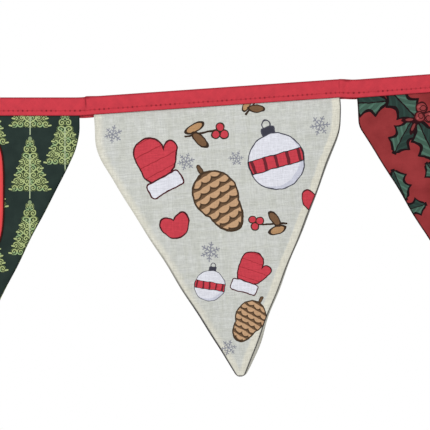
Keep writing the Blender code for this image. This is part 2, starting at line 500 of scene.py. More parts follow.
@dataclass
class BindingTape:
    """The red bias tape: folded over the pennants' tops, pressed shut between them and sewn."""

    drop: float = 12.5
    back_extra: float = 0.8
    gap_flap: float = 0.9
    gap_flap_width: float = 9.0
    thickness: float = 0.6
    open_radius: float = 1.4
    shut_radius: float = 0.36
    shut_give: float = 0.07
    open_past_pennant: float = 1.5
    shutting_length: float = 3.3
    fold_steps: int = 8
    fold_clearance: float = 0.2
    station_step: float = 1.6
    stitch_pitch: float = 3.2
    stitch_height: float = 3.3
    stitch_size: Vector = field(default_factory=lambda: Vector((1.25, 0.2, 0.24)))
    stitch_lean_deg: float = 3.0
    stitch_sink: float = 0.02
    stitch_waver: float = 0.12
    stitch_waver_rate: float = 0.9
    groove_depth: float = 0.12
    groove_width: float = 0.9
    between_holes: float = 0.6
    pucker: float = 0.1
    pucker_waves: Pair = (7.3, 4.1)
    lower_tuck: float = 0.36
    wall_heights: tuple[float, ...] = (0.0, 0.25, 0.7, 1.5, 2.3, 2.8, 3.3, 3.8, 4.4, 5.6, 7.0, 8.6)
    creases: tuple[Pair, ...] = ((-88.6, 0.45), (83.4, 0.18))
    crease_width: float = 0.8
    crease_stations: tuple[float, ...] = (-1.0, -0.75, -0.5, -0.25)
    lap_fade: float = 12.0

    def radius(self, along: float) -> float:
        """How open the tape is: wide over a pennant, and shut in the gaps and the tails.

        Args:
            along: the place along the fold.

        Returns:
            Half the distance between its walls there.
        """
        openness = 0.0
        for name in ("green", "cream", "red"):
            start, end = STRING.span(name)
            outside = max(start - along, along - end) - self.open_past_pennant
            openness = max(openness, 1 - smooth_step(outside / self.shutting_length))
        return self.shut_radius + (self.open_radius - self.shut_radius) * openness

    def overlap(self, along: float) -> float:
        """How the tape stands out at a crease, where one length of it laps over the next.

        Args:
            along: the place along the fold.

        Returns:
            How far it stands out there.
        """
        lap = 0.0
        for place, height in self.creases:
            if along > place - self.crease_width:
                lap += height * smooth_step((along - place + self.crease_width) / self.crease_width)
                lap -= height * smooth_step((along - place) / (self.lap_fade * self.crease_width))
        return lap

    def back_flap(self, along: float) -> float:
        """How far the back wall hangs past the front one: most where the gap on the left is."""
        from_gap = along - sum(STRING.span("left_gap")) / 2
        return self.back_extra + self.gap_flap * math.exp(-((from_gap / self.gap_flap_width) ** 2))

    def dent(self, along: float, height: float) -> float:
        """How the stitching draws in a wall of the open tape.

        Args:
            along: the place along the fold.
            height: the place above the wall's lower edge.

        Returns:
            How far the wall is drawn in there.
        """
        near = math.exp(-(((height - self.stitch_height) / self.groove_width) ** 2))
        stitch = math.sin(math.pi * along / self.stitch_pitch) ** 2
        long_wave, short_wave = self.pucker_waves
        drift = math.sin(along / long_wave) + math.sin(along / short_wave + 1.0)
        below = smooth_step((self.stitch_height * 2 - height) / self.stitch_height)
        groove = near * self.groove_depth * (self.between_holes + (1 - self.between_holes) * stitch)
        return groove + below * self.pucker * drift / 2 + below * self.lower_tuck

    def wall_out(self, along: float, height: float) -> float:
        """Where a wall is. Where the tape is shut, it hardly gives to the stitching.

        Args:
            along: the place along the fold.
            height: the place above the wall's lower edge.

        Returns:
            How far the wall's middle is from the fold's.
        """
        radius = self.radius(along)
        openness = (radius - self.shut_radius) / (self.open_radius - self.shut_radius)
        give = self.shut_give + (1 - self.shut_give) * openness
        return radius - self.dent(along, height) * give

    def section(self, along: float) -> list[Triple]:
        """The folded tape, seen along the string.

        Args:
            along: the place along the fold.

        Returns:
            Its points from the front edge over the fold to the back edge, each as y, z and its
            place across the flat tape, which is 0 on the fold.
        """
        radius = self.radius(along)
        lap = self.overlap(along)
        centre = -(radius + self.thickness / 2)
        reach = self.drop + centre - self.fold_clearance
        heights = [min(height, reach * height / self.wall_heights[-1]) for height in self.wall_heights]
        front = []
        back = []
        for height in heights:
            out = self.wall_out(along, height)
            front.append((-out - lap, height - self.drop, self.drop - height))
            lower = self.back_flap(along) * (1 - height / self.drop)
            back.append((out + lap, height - self.drop - lower, height - self.drop))
        fold = []
        for i in range(self.fold_steps + 1):
            angle = math.pi * i / self.fold_steps
            out = -(radius + lap) * math.cos(angle)
            up = centre + (radius + lap) * math.sin(angle)
            fold.append((out, up, radius * (math.pi / 2 - angle)))
        return front + fold + back[::-1]

    def stations(self) -> list[float]:
        """Chooses where the tape gets a section, with more of them at the creases.

        Returns:
            The places along the fold, from left to right.
        """
        count = round(STRING.length / self.station_step)
        places = {STRING.starts[0] + STRING.length * i / count for i in range(count + 1)}
        for place, _ in self.creases:
            places.update(place + self.crease_width * share for share in self.crease_stations)
        return sorted(places)

    def build(self, material: bpy.types.Material) -> None:
        """Builds the tape, which replaces its solid.

        Args:
            material: the tape's cotton.
        """
        stations = self.stations()
        sections = [self.section(along) for along in stations]
        frames = [STRING.frame(along) for along in stations]

        def place(column: int, row: int) -> Vector:
            """A point's place on the folded tape."""
            y, z, _ = sections[column][row]
            return frames[column] @ Vector((0.0, y, z))

        def print_place(column: int, row: int) -> Pair:
            """A point's place on the flat tape."""
            return stations[column], sections[column][row][2]

        mesh = sheet_mesh("binding_tape", len(stations) - 1, len(sections[0]) - 1, place, print_place)
        tape = add_piece("binding_tape", mesh, material)
        thicken(tape, self.thickness)
        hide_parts("binding")
        LOG.info("binding_tape: %d faces", len(mesh.polygons))

    def stitches(self) -> list[Matrix]:
        """Spaces the stitches along both walls, a little out of line.

        Returns:
            One matrix for each stitch, which shapes a unit ball.
        """
        places = []
        first = math.ceil(STRING.starts[0] / self.stitch_pitch) * self.stitch_pitch
        lean = Matrix.Rotation(math.radians(self.stitch_lean_deg), 4, "Y")
        size = Matrix.LocRotScale(None, None, self.stitch_size)
        for i in range(int(STRING.length / self.stitch_pitch)):
            along = (i + 0.5) * self.stitch_pitch + first
            wall = self.wall_out(along, self.stitch_height) + self.overlap(along)
            out = wall + self.thickness / 2 - self.stitch_sink
            for side in Side:
                drift = self.stitch_waver * math.sin(along * self.stitch_waver_rate + side.value)
                depth = self.drop - self.stitch_height + drift
                spot = Matrix.Translation((0.0, side.value * out, -depth))
                places.append(STRING.frame(along) @ spot @ lean @ size)
        return places

    def sew(self, material: bpy.types.Material) -> None:
        """Builds the row of stitches on each wall.

        Args:
            material: the sewing thread.
        """
        mesh = join_stitches("topstitching", self.stitches(), around=8, along=6)
        stitching = add_piece("topstitching", mesh, material)
        LOG.info("topstitching: %d faces", len(mesh.polygons))


@dataclass
class Pennant:
    """A turned-through pennant of two panels, cut wide at the top and brought to a soft point.

    Its panels are drawn from the middle of the tape's lower edge: right is +X, and depth runs down.

    Attributes:
        name, slot: its word in the names of its pieces, and a slot name, which is not used.
        left_shoulder, right_shoulder: how deep the slopes start.
        apex_depth, apex_right: where the slopes would meet.
        back_show: how far the back panel's rim shows past the front one.
        swing: how far back the tip hangs.
        roll: how far back the side edges turn.
        ripple, pitch, phase: the height, length and start of its waves.
        left_trim: how much narrower it is on the left.
        right_bow: how far the right slope bows out.
        edge_waver: how uneven its edges are.
        tucked_in: how far it goes up into the tape.
        tip_end: how far round the tip its last row lies, as a share of the tip's radius.
        hang_start: the depth from which it hangs free of the tape.
        seam_offset, face_offset: how far a panel is from the pennant's middle at and past the seam.
        pressed_offset, pressed_length: how far it is under the tape, and how soon that ends.
        allowance, allowance_height: the seam allowance's width and the height of its ridge.
        edge_steps: how far in from a side edge the outer columns are.
    """

    name: str
    slot: str
    left_shoulder: float
    right_shoulder: float
    apex_depth: float
    apex_right: float
    back_show: float
    swing: float
    roll: float
    ripple: float
    pitch: float
    phase: float
    left_trim: float = 0.0
    right_bow: float = 0.0
    edge_waver: float = 0.4
    waver_waves: Pair = (5.3, 8.7)
    shoulder_radius: float = 45.0
    tip_radius: float = 4.6
    tip_end: float = 0.985
    tucked_in: float = 9.5
    hang_start: float = 60.0
    edge_roll_power: int = 3
    thickness: float = 0.5
    seam_offset: float = 0.3
    face_offset: float = 0.7
    pressed_offset: float = 0.26
    pressed_length: float = 22.0
    seam_width: float = 1.5
    allowance: float = 6.0
    allowance_height: float = 0.16
    edge_steps: tuple[float, ...] = (0.0, 0.25, 0.6, 1.1, 1.8, 3.2, 5.4, 6.8, 7.8, 8.8, 10.4)
    middle_columns: int = 22
    top_rows: int = 3
    shoulder_rows: int = 16
    slope_rows: int = 64
    tip_rows: int = 12

    def __post_init__(self) -> None:
        """Works out the slopes and the round tip from the driving sizes."""
        start, end = STRING.span(self.name)
        drop = BindingTape.drop
        self.frame = STRING.frame((start + end) / 2) @ Matrix.Translation((0.0, 0.0, -drop))
        self.half_width = (end - start) / 2
        self.reach = {Way.LEFT: self.half_width - self.left_trim, Way.RIGHT: self.half_width}
        self.shoulder = {Way.LEFT: self.left_shoulder, Way.RIGHT: self.right_shoulder}
        self.slope = {way: self.slope_angle(way) for way in Way}
        opening = (self.slope[Way.LEFT] + self.slope[Way.RIGHT]) / 2
        lean = (self.slope[Way.RIGHT] - self.slope[Way.LEFT]) / 2
        rise = self.tip_radius / math.sin(opening)
        self.tip_right = self.apex_right + rise * math.sin(lean)
        self.tip_depth = self.apex_depth - rise * math.cos(lean)

    def slope_angle(self, way: Way) -> float:
        """How far a slope leans from straight down, in radians."""
        across = self.reach[way] - way * self.apex_right
        return math.atan2(across, self.apex_depth - self.shoulder[way])

    def edge(self, way: Way, depth: float) -> float:
        """Where a side edge is as sewn, with its unevenness.

        Args:
            way: which of the two.
            depth: the depth at which it's wanted.

        Returns:
            How far right it is.
        """
        share = depth / self.apex_depth
        short_wave, long_wave = self.waver_waves
        short_drift = math.sin(depth / short_wave + way + self.phase)
        drift = short_drift + math.sin(depth / long_wave + 2 * way - self.phase)
        waver = self.edge_waver * drift / 2 * smooth_step(share / 0.1) * smooth_step((1 - share) / 0.15)
        bow = self.right_bow * smooth_step((share - 0.05) / 0.1) * smooth_step((0.65 - share) / 0.2)
        return self.straight_edge(way, depth) + waver + (bow if way is Way.RIGHT else 0.0)

    def straight_edge(self, way: Way, depth: float) -> float:
        """Where an edge is as cut: straight down, round the shoulder, down the slope, round the tip.

        Args:
            way: which of the two.
            depth: the depth at which it's wanted.

        Returns:
            How far right it is.
        """
        slope = self.slope[way]
        turn = self.shoulder_radius * math.tan(slope / 2)
        arc_start = self.shoulder[way] - turn
        arc_end = self.shoulder[way] + turn * math.cos(slope)
        tip_start = self.tip_depth + self.tip_radius * math.sin(slope)
        if depth <= arc_start:
            return way * self.reach[way]
        if depth < arc_end:
            drop = depth - arc_start
            cut_in = self.shoulder_radius - math.sqrt(self.shoulder_radius**2 - drop**2)
            return way * (self.reach[way] - cut_in)
        if depth < tip_start:
            return way * (self.reach[way] - (depth - self.shoulder[way]) * math.tan(slope))
        drop = depth - self.tip_depth
        return self.tip_right + way * math.sqrt(self.tip_radius**2 - drop**2)

    def row_depths(self) -> list[float]:
        """Spaces the rows, close together at the shoulders and round the tip.

        Returns:
            Their depths, from the top.
        """
        turn = self.shoulder_radius * math.tan(max(self.slope.values()) / 2)
        shoulder_start = min(self.shoulder.values()) - turn
        shoulder_end = max(self.shoulder.values()) + turn
        tip_turn = min(self.slope.values())
        tip_start = self.tip_depth + self.tip_radius * math.sin(tip_turn)
        tip_step = (math.asin(self.tip_end) - tip_turn) / self.tip_rows
        spans = (
            (-self.tucked_in, shoulder_start, self.top_rows),
            (shoulder_start, shoulder_end, self.shoulder_rows),
            (shoulder_end, tip_start, self.slope_rows),
        )
        depths = []
        for start, end, rows in spans:
            depths += [start + (end - start) * i / rows for i in range(rows)]
        for i in range(self.tip_rows + 1):
            depths.append(self.tip_depth + self.tip_radius * math.sin(tip_turn + tip_step * i))
        return depths

    def stand_back(self, right: float, depth: float) -> float:
        """The hang of the cloth: its swing, its rolled edges and its ripples.

        Args:
            right: the place across the pennant.
            depth: the place down it.

        Returns:
            How far back the pennant's middle is there.
        """
        left_edge = self.edge(Way.LEFT, depth)
        right_edge = self.edge(Way.RIGHT, depth)
        half = (right_edge - left_edge) / 2
        across = min(1.0, abs(right - (left_edge + right_edge) / 2) / half)
        share = depth / self.apex_depth
        wave = math.tau * right / self.pitch + self.phase + share
        swing = self.swing * share**2
        roll = self.roll * across**self.edge_roll_power * half / self.half_width
        ripple = self.ripple * math.sin(wave)
        return (swing + roll + ripple) * smooth_step(depth / self.hang_start)

    def face_height(self, edge_gap: float, depth: float) -> float:
        """How plump the pennant is: flat at the seam, raised over the allowance, pressed at the top.

        Args:
            edge_gap: the distance in from the sewn edge.
            depth: the distance down from the tape, where the two panels are pressed together.

        Returns:
            How far a panel's middle is from the pennant's.
        """
        rounding = smooth_step(edge_gap / self.seam_width)
        ridge = 1 - smooth_step((edge_gap - self.allowance + 0.6) / 1.2)
        loose = self.seam_offset + (self.face_offset - self.seam_offset) * rounding
        raised = loose + self.allowance_height * ridge * rounding
        freed = smooth_step(depth / self.pressed_length)
        return self.pressed_offset + (raised - self.pressed_offset) * freed

    def point(self, right: float, depth: float, height: float) -> Vector:
        """The place of a point at a height behind the pennant's middle surface."""
        return self.frame @ Vector((right, height + self.stand_back(right, depth), -depth))

    def spread(self, column: int, columns: int, depth: float) -> Pair:
        """Spaces the columns across a row, close together at both edges.

        Args:
            column: the column's number, from the left.
            columns: how many faces the row has.
            depth: the row's depth.

        Returns:
            How far right the column is, and its distance from the nearer side edge.
        """
        left, right = self.edge(Way.LEFT, depth), self.edge(Way.RIGHT, depth)
        half = (right - left) / 2
        squeeze = min(1.0, half / (self.edge_steps[-1] * 1.3))
        last = len(self.edge_steps) - 1
        for way, edge, steps_in in ((Way.LEFT, left, column), (Way.RIGHT, right, columns - column)):
            if steps_in <= last:
                gap = self.edge_steps[steps_in] * squeeze
                return edge - way * gap, gap * math.cos(self.slope[way])
        band = self.edge_steps[-1] * squeeze
        share = (column - last) / (columns - 2 * last)
        across = left + band + (right - left - 2 * band) * share
        return across, min(across - left, right - across)

    def rim_share(self, depth: float) -> float:
        """How much of the back panel's rim shows: none at the shoulder and at the tip.

        Args:
            depth: the place down the edge.

        Returns:
            The rim's share of its full width there.
        """
        share = depth / self.apex_depth
        opened = 0.4 + 0.6 * smooth_step((share - 0.6) / 0.3)
        uneven = 1 + 0.25 * math.sin(depth / 6.5 + self.phase)
        return opened * uneven * smooth_step((share - 0.04) / 0.12) * smooth_step((1 - share) / 0.07)

    def build_panel(self, side: Side, material: bpy.types.Material) -> None:
        """Builds the front or back panel, which replaces its solid.

        Args:
            side: which of the two.
            material: its printed cotton.
        """
        depths = self.row_depths()
        columns = 2 * (len(self.edge_steps) - 1) + self.middle_columns
        bottom = depths[-1]

        def spot(column: int, row: int) -> Triple:
            """A point's place on the flat pennant: right, depth and its distance from the edge."""
            depth = depths[row]
            right, gap = self.spread(column, columns, depth)
            gap = min(gap, bottom - depth + 0.01)
            if side is Side.BACK and column == columns:
                gap = -self.back_show * self.rim_share(depth)
                right -= gap
            return right, depth, gap

        def place(column: int, row: int) -> Vector:
            """A point's place on the hanging panel."""
            right, depth, gap = spot(column, row)
            return self.point(right, depth, side.value * self.face_height(gap, depth))

        def print_place(column: int, row: int) -> Pair:
            """A point's place on the print, seen from the panel's own side."""
            right, depth, _ = spot(column, row)
            return -side.value * right, -depth

        def edge_gap(column: int, row: int) -> float:
            """A point's distance from the edge, below 0 on a rim."""
            return spot(column, row)[2]

        name = f"{self.name}_{side.word}"
        mesh = sheet_mesh(name, columns, len(depths) - 1, place, print_place, edge_gap)
        panel = add_piece(name, mesh, material)
        thicken(panel, self.thickness)
        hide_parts(f"pennant_{self.name}_{side.word}")
        LOG.info("%s: %d faces", name, len(mesh.polygons))


@dataclass
class RedPatch:
    """A blank red patch on a pennant's front, held by a dark satin-stitched border.

    Attributes:
        pennant: what it's sewn on.
        half_width, half_height, power: its outline, a rounded box.
        depth: how far down its middle is.
        height, puff: how far its edge is from the pennant's middle, and how much more its middle is.
        area_share: its area, as a share of the box round it; it is not used.
        round_share: the length of its outline, as a share of a circle of its mean radius.
        border_lift: how far the border stands above the cloth's middle.
        stitch_overlap: how far a stitch reaches along the border, as a share of their distance.
    """

    pennant: Pennant
    half_width: float = 34.1
    half_height: float = 44.5
    depth: float = 52.7
    power: int = 4
    thickness: float = 0.5
    height: float = 1.35
    puff: float = 0.35
    border: float = 1.2
    border_height: float = 0.32
    border_lift: float = 0.2
    stitch_pitch: float = 0.5
    stitch_radius: float = 0.32
    stitch_overlap: float = 0.62
    area_share: float = 0.92
    round_share: float = 1.08
    columns: int = 36
    rows: int = 44

    def outline(self, angle: float, inset: float) -> Pair:
        """A point on the patch's outline.

        Args:
            angle: which way the point lies from the middle.
            inset: how far in it's moved.

        Returns:
            How far right of the patch's middle it is, and how far up.
        """
        across, up = math.cos(angle), math.sin(angle)
        reach = (abs(across) ** self.power + abs(up) ** self.power) ** (-1 / self.power)
        return (self.half_width - inset) * across * reach, (self.half_height - inset) * up * reach

    def spot(self, column: int, row: int) -> Triple:
        """A grid point of the patch's cloth.

        Args:
            column: its column, from the left.
            row: its row, from the top.

        Returns:
            How far right of the middle it is, how far up, and its share of the way out.
        """
        x = 2 * column / self.columns - 1
        z = 1 - 2 * row / self.rows
        share = max(abs(x), abs(z))
        inset = self.border / 2
        reach = (abs(x) ** self.power + abs(z) ** self.power) ** (1 / self.power)
        rounding = share / reach if reach else 1.0
        return (self.half_width - inset) * x * rounding, (self.half_height - inset) * z * rounding, share

    def build(self, cloth: bpy.types.Material, thread: bpy.types.Material) -> None:
        """Builds the cloth, which replaces the solid, and the stitched border on it.

        Args:
            cloth: the patch's cotton.
            thread: the border's thread.
        """

        def place(column: int, row: int) -> Vector:
            """A point's place on the puffed patch."""
            right, up, share = self.spot(column, row)
            height = self.height + self.puff * (1 - share**4)
            return self.pennant.point(right, self.depth - up, Side.FRONT.value * height)

        def print_place(column: int, row: int) -> Pair:
            """A point's place on the flat patch."""
            return self.spot(column, row)[:2]

        mesh = sheet_mesh("patch_cloth", self.columns, self.rows, place, print_place)
        patch = add_piece("patch_cloth", mesh, cloth)
        thicken(patch, self.thickness)
        border = add_piece("patch_border", self.border_mesh(), thread)
        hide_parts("patch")
        for piece in (patch, border):
            LOG.info("%s: %d faces", piece.name, len(piece.data.polygons))

    def border_mesh(self) -> bpy.types.Mesh:
        """Sews satin stitches side by side across the patch's edge.

        Returns:
            Their mesh, in metres.
        """
        around = 2 * math.pi * (self.half_width + self.half_height) / 2 * self.round_share
        count = round(around / self.stitch_pitch)
        corners = [self.outline(math.tau * i / count, self.border / 2) for i in range(count)]
        depth_out = Side.FRONT.value * (self.height + self.border_lift)
        upright = self.pennant.frame.to_3x3().to_4x4()
        places = []
        for i, (right, up) in enumerate(corners):
            next_right, next_up = corners[(i + 1) % count]
            heading = math.atan2(next_up - up, next_right - right)
            gap = math.hypot(next_right - right, next_up - up)
            spot = self.pennant.point(right, self.depth - up, depth_out)
            turn = upright @ Matrix.Rotation(-heading, 4, "Y")
            length = max(self.stitch_radius, gap * self.stitch_overlap)
            size = Vector((length, self.border_height, self.border / 2))
            places.append(Matrix.Translation(spot) @ turn @ Matrix.LocRotScale(None, None, size))
        return join_stitches("patch_border", places, around=8, along=5)


class Motif:
    """A small drawing in printed inks, kept as a node group and drawn in millimetres.

    The group takes a place on the drawing and the colour under it, and gives the colour with the
    drawing over it. A shape is a distance from its outline, which is negative inside.
    """

    outline = "33261F"
    red = "CB4450"
    white = "E2E3EC"

    def __init__(self, name: str) -> None:
        """Draws the motif into a new group.

        Args:
            name: the group's name.
        """
        tree = bpy.data.node_groups.new(name, "ShaderNodeTree")
        tree.interface.new_socket("Place", in_out="INPUT", socket_type="NodeSocketVector")
        tree.interface.new_socket("Under", in_out="INPUT", socket_type="NodeSocketColor")
        tree.interface.new_socket("Painted", in_out="OUTPUT", socket_type="NodeSocketColor")
        self.graph = Graph(tree)
        entry = tree.nodes.new("NodeGroupInput")
        self.place = entry.outputs["Place"]
        self.colour = entry.outputs["Under"]
        self.x = self.graph.add("SeparateXYZ", self.place)
        self.y = self.x.node.outputs[1]
        self.draw()
        ending = tree.nodes.new("NodeGroupOutput")
        tree.links.new(self.colour, ending.inputs["Painted"])

    def draw(self) -> None:
        """Draws the motif. Each motif has its own way."""
        raise NotImplementedError

    def fill(self, gap: Socket, ink: str, grow: float = 0.0) -> None:
        """Lays an ink inside a shape, grown by a distance.

        Args:
            gap: the distance from the shape.
            ink: the ink's colour.
            grow: how far past the shape the ink goes.
        """
        mask = self.graph.add("LESS_THAN", gap, grow)
        inks = {UNDER: self.colour, OVER: linear(ink)}
        self.colour = self.graph.add("Mix", mask, at=inks, out=MIXED, data_type="RGBA")

    def outlined(self, gap: Socket, ink: str, line: float = 0.7) -> None:
        """Lays an ink inside a shape, with a dark line round it."""
        self.fill(gap, self.outline, line / 2)
        self.fill(gap, ink, -line / 2)

    def oval(self, centre: Pair, radii: Pair, turn_deg: float = 0) -> Socket:
        """An oval, which is turned about its centre.

        Args:
            centre: its centre.
            radii: its two radii.
            turn_deg: how far it's turned.

        Returns:
            The distance from it.
        """
        add = self.graph.add
        local = add("VectorMath", self.place, (*centre, 0), operation="SUBTRACT")
        if turn_deg:
            angle = -math.radians(turn_deg)
            local = add("VectorRotate", local, at={"Angle": angle}, rotation_type="Z_AXIS")
        scaled = add("VectorMath", local, (1 / radii[0], 1 / radii[1], 0), operation="MULTIPLY")
        length = add("VectorMath", scaled, operation="LENGTH", out="Value")
        return add("MULTIPLY_ADD", length, min(radii), -min(radii))

    def bar(self, start: Pair, end: Pair, radius: float) -> Socket:
        """A bar with round ends.

        Args:
            start: the middle of one end.
            end: the middle of the other.
            radius: half its width.

        Returns:
            The distance from it.
        """
        add = self.graph.add
        run = Vector(end) - Vector(start)
        local = add("VectorMath", self.place, (*start, 0), operation="SUBTRACT")
        along = (*(run / run.length_squared), 0)
        share = add("VectorMath", local, along, operation="DOT_PRODUCT", out="Value")
        share = add("MULTIPLY", share, 1.0, use_clamp=True)
        nearest = add("VectorMath", (*run, 0), at={"Scale": share}, operation="SCALE")
        away = add("VectorMath", local, nearest, operation="DISTANCE", out="Value")
        return add("SUBTRACT", away, radius)

    def box(self, centre: Pair, half: Pair, rounding: float) -> Socket:
        """A box with round corners.

        Args:
            centre: its centre.
            half: half its width and half its height.
            rounding: the radius of its corners.

        Returns:
            The distance from it.
        """
        add = self.graph.add
        local = add("VectorMath", self.place, (*centre, 0), operation="SUBTRACT")
        folded = add("VectorMath", local, operation="ABSOLUTE")
        inner = (half[0] - rounding, half[1] - rounding, 0)
        beyond = add("VectorMath", folded, inner, operation="SUBTRACT")
        beyond = add("VectorMath", beyond, (0, 0, 0), operation="MAXIMUM")
        return add("SUBTRACT", add("VectorMath", beyond, operation="LENGTH", out="Value"), rounding)

    def both(self, gap: Socket, other: Socket) -> Socket:
        """The part that two shapes share."""
        return self.graph.add("MAXIMUM", gap, other)

    def either(self, gap: Socket, other: Socket) -> Socket:
        """Two shapes joined."""
        return self.graph.add("MINIMUM", gap, other)

    def stripes(self, across: Socket, pitch: float, share: float) -> Socket:
        """The distance from stripes across a direction, which cover a share of it."""
        return self.graph.add("SUBTRACT", self.graph.add("PINGPONG", across, pitch / 2), share * pitch / 2)


class HollyLeaf(Motif):
    """A holly leaf lying along +X, with spiny edges, one side light and one dark."""

    outline = "201417"
    half_length = 15.0
    half_width = 10.2
    scallop = 0.5
    scallop_rate = 1.25 * math.pi
    first_spine = -0.45
    vein_pitch = 7.5

    def draw(self) -> None:
        """Draws the leaf, its facets and its midrib."""
        add = self.graph.add
        share = add("DIVIDE", self.x, self.half_length)
        left_over = add("SUBTRACT", 1.0, add("MULTIPLY", share, share))
        body = add("SQRT", add("MAXIMUM", left_over, 0.0))
        phase = add("MULTIPLY_ADD", share, self.scallop_rate, -self.first_spine * self.scallop_rate)
        scallops = add("ABSOLUTE", add("SINE", phase))
        inward = add("MULTIPLY_ADD", scallops, -self.scallop * self.half_width, self.half_width)
        up = add("ABSOLUTE", self.y)
        beyond = add("SUBTRACT", add("ABSOLUTE", self.x), self.half_length)
        gap = self.both(add("SUBTRACT", up, add("MULTIPLY", body, inward)), beyond)
        slant = add("MULTIPLY_ADD", up, -0.9, self.x)
        facets = self.stripes(add("MULTIPLY_ADD", up, -0.5, slant), self.vein_pitch, 0.5)
        veins = self.stripes(slant, self.vein_pitch, 0.05)
        light_half = self.both(gap, add("MULTIPLY", self.y, -1.0))
        self.fill(gap, self.outline, 2.1)
        self.fill(gap, "293A35", -0.5)
        self.fill(self.both(gap, facets), "2E433D", -0.5)
        self.fill(light_half, "405A4E", -0.5)
        self.fill(self.both(light_half, facets), "4D6D5F", -0.5)
        self.fill(self.both(gap, veins), "222D29", -0.1)
        self.fill(self.both(gap, add("SUBTRACT", up, 0.6)), self.outline, -0.1)


class HollyBerry(Motif):
    """A round berry with a dark swirl and a light spot."""

    outline = "3A1518"

    def draw(self) -> None:
        """Draws the berry."""
        self.outlined(self.oval((0, 0), (3.7, 3.7)), "8A3A3C", 0.9)
        swirl = self.oval((0.7, -0.7), (2.0, 1.9))
        self.fill(self.graph.add("ABSOLUTE", swirl), self.outline, 0.3)
        self.fill(self.oval((-1.3, 1.4), (1.0, 0.7)), "A45253")


class Sepal(Motif):
    """A narrow pointed sepal lying along +X."""

    outline = "2E1216"

    def draw(self) -> None:
        """Draws the sepal."""
        self.outlined(self.oval((0, 0), (4.2, 1.3)), "7E3B3A", 0.9)


class ScrollTree(Motif):
    """A small tree of rows of curls on a thin trunk, as common scrollwork prints have.

    Its trunk stands on the origin, and its two halves mirror each other.
    """

    outline = "2A3626"
    halo = "1C2724"
    trunk = 5.2
    rows = 8
    row_height = 4.35
    foot_half_width = 13.4
    taper = 0.325
    turn_pitch = 1.5

    def draw(self) -> None:
        """Draws the curls, the branches, the knobs and the trunk."""
        add = self.graph.add
        out = add("ABSOLUTE", self.x)
        row = add("FLOOR", add("DIVIDE", add("SUBTRACT", self.y, self.trunk), self.row_height))
        row_up = add("MULTIPLY_ADD", row, self.row_height, self.trunk + self.row_height / 2)
        above_trunk = add("SUBTRACT", row_up, self.trunk)
        half_width = add("MULTIPLY_ADD", above_trunk, -self.taper, self.foot_half_width)
        curls = add("MAXIMUM", add("ROUND", add("DIVIDE", half_width, self.row_height)), 1.0)
        in_curls = add("DIVIDE", out, add("DIVIDE", half_width, curls))
        column = add("FLOOR", in_curls)
        column_middle = add("ADD", column, 0.5)
        cell_x = add("MULTIPLY", add("SUBTRACT", in_curls, column_middle), self.row_height)
        cell_y = add("SUBTRACT", self.y, row_up)
        in_row = add("SUBTRACT", column_middle, curls)
        from_middle = add("ABSOLUTE", add("SUBTRACT", row, (self.rows - 1) / 2))
        in_height = add("SUBTRACT", from_middle, self.rows / 2)
        radius = add("VectorMath", add("CombineXYZ", cell_x, cell_y), operation="LENGTH", out="Value")
        disc = add("SUBTRACT", radius, self.row_height * 0.56)
        disc = self.both(disc, add("MULTIPLY", self.both(in_row, in_height), 9.0))
        angle = add("DIVIDE", add("ARCTAN2", cell_y, cell_x), math.tau)
        seed = add("MULTIPLY", add("ADD", row, column), 0.37)
        turn = add("SUBTRACT", add("DIVIDE", radius, self.turn_pitch), add("ADD", angle, seed))
        curl = self.both(disc, add("SUBTRACT", add("PINGPONG", turn, 0.5), 0.28))
        cloud = add("TexNoise", at={"Vector": self.place, "Scale": 0.13, "Detail": 1.0})
        self.fill(disc, self.halo, 0.5)
        self.fill(disc, "5C6942")
        self.fill(disc, self.outline, -0.35)
        self.fill(curl, "A2AF77", -0.02)
        self.fill(self.both(curl, add("SUBTRACT", 0.53, cloud)), "8FA878", -0.02)
        for low, run in ((8.0, 8.0), (16.5, 6.4), (25.5, 4.0)):
            self.fill(self.mirrored_bar(out, (0.0, low), (run, low + run * 0.8), 0.3), "A8B57E")
        for right, up in ((14.0, 6.6), (12.0, 11.4), (10.4, 16.2), (8.8, 20.8), (7.0, 25.4)):
            knob = self.mirrored_bar(out, (right - 1.6, up - 0.3), (right, up), 0.55)
            self.fill(knob, self.halo, 0.4)
            self.fill(knob, "A6B37C")
        self.fill(self.bar((0.0, 0.4), (0.0, 30.0), 0.34), "ABB893")
        self.fill(self.oval((0.0, 40.6), (1.3, 1.5)), "7F8F6A")

    def mirrored_bar(self, out: Socket, start: Pair, end: Pair, radius: float) -> Socket:
        """A bar that is drawn on both sides of the trunk.

        Args:
            out: the distance from the trunk's middle.
            start: the middle of one end, on the right.
            end: the middle of the other.
            radius: half the bar's width.

        Returns:
            The distance from the nearer of the two.
        """
        place = self.place
        self.place = self.graph.add("CombineXYZ", out, self.y)
        gap = self.bar(start, end, radius)
        self.place = place
        return gap


class PineCone(Motif):
    """A pine cone hanging point down, in tan with dark scales."""

    outline = "4A3A2C"
    brown = "6E5540"
    row_height = 5.0
    scale_half_width = 3.2
    scale_radius = 4.0

    def draw(self) -> None:
        """Draws the cone and its overlapping scales."""
        add = self.graph.add
        body = self.either(self.oval((0, 3), (12.5, 14)), self.oval((0, -4), (9.5, 16)))
        row = add("FLOOR", add("DIVIDE", self.y, self.row_height))
        odd_row = add("MODULO", add("ABSOLUTE", row), 2.0)
        shifted = add("MULTIPLY_ADD", odd_row, self.scale_half_width, self.x)
        scale_x = add("WRAP", shifted, self.scale_half_width, -self.scale_half_width)
        scale_y = add("MULTIPLY_ADD", row, -self.row_height, self.y)
        tip = add("CombineXYZ", scale_x, add("SUBTRACT", scale_y, self.row_height))
        from_tip = add("VectorMath", tip, operation="LENGTH", out="Value")
        rim = add("SUBTRACT", from_tip, self.scale_radius)
        self.outlined(body, self.brown, 0.9)
        self.fill(self.both(body, rim), "C8A27E", -0.6)
        self.fill(self.both(body, add("ABSOLUTE", rim)), self.outline, 0.32)
        self.outlined(self.bar((0, 18.5), (0, 21.5), 1.2), self.brown)


